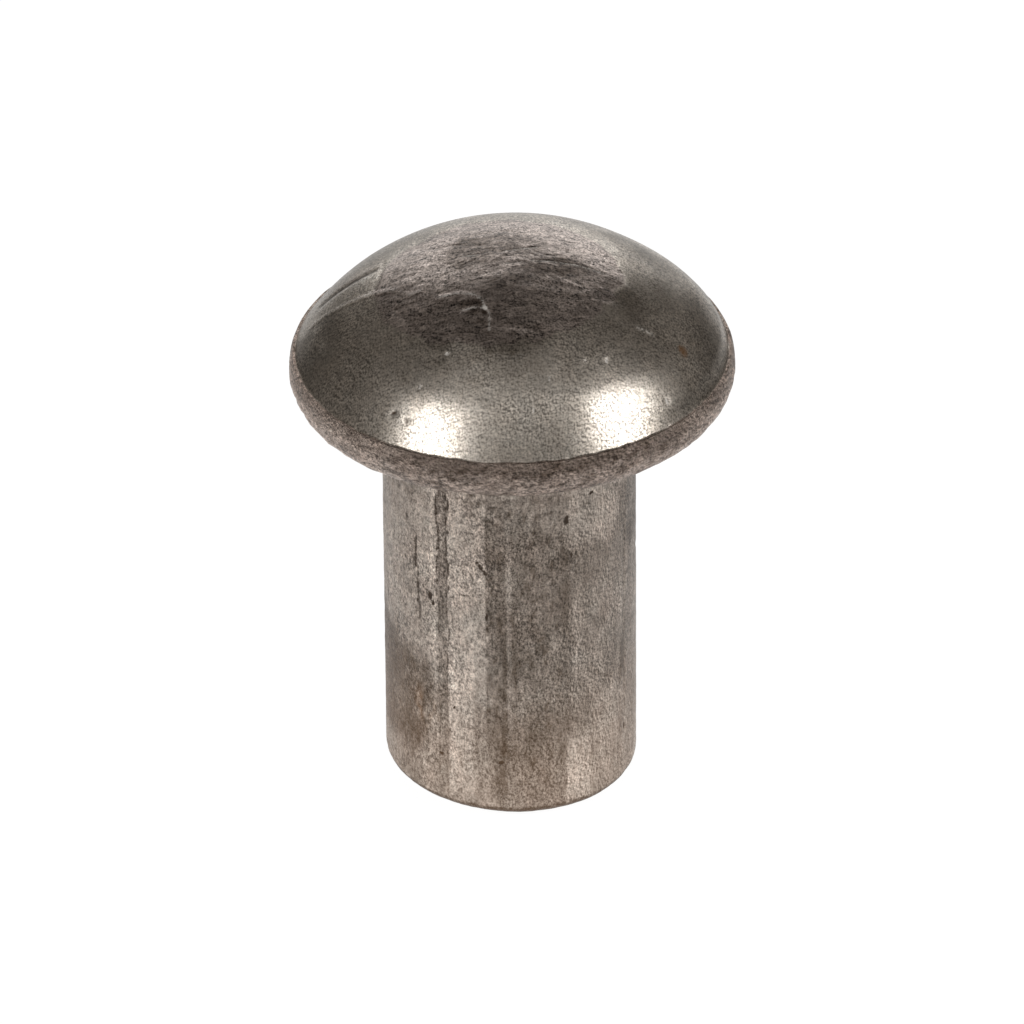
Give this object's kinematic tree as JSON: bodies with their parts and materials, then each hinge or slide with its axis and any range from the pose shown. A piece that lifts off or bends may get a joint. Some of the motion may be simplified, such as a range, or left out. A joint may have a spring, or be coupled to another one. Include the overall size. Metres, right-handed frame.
{
  "type": "rivet",
  "caption": "Solid round-head steel rivet: a domed head with a barrelled rim on a plain round shank, for joining plates permanently.",
  "frame": {"origin": "centre of the cropped end of the shank, on the surface that the rivet stands on", "axes": "+Z along the shank, from its cropped end to the crown of the head; +X and +Y are free, because the rivet is a body of revolution"},
  "size_m": [0.014, 0.014, 0.0187],
  "materials": {
    "steel": "bare drawn and cold-headed steel, satin on the dome, scuffed and slightly stained"
  },
  "bodies": {
    "root": {"rivet": "steel"}
  },
  "joints": []
}
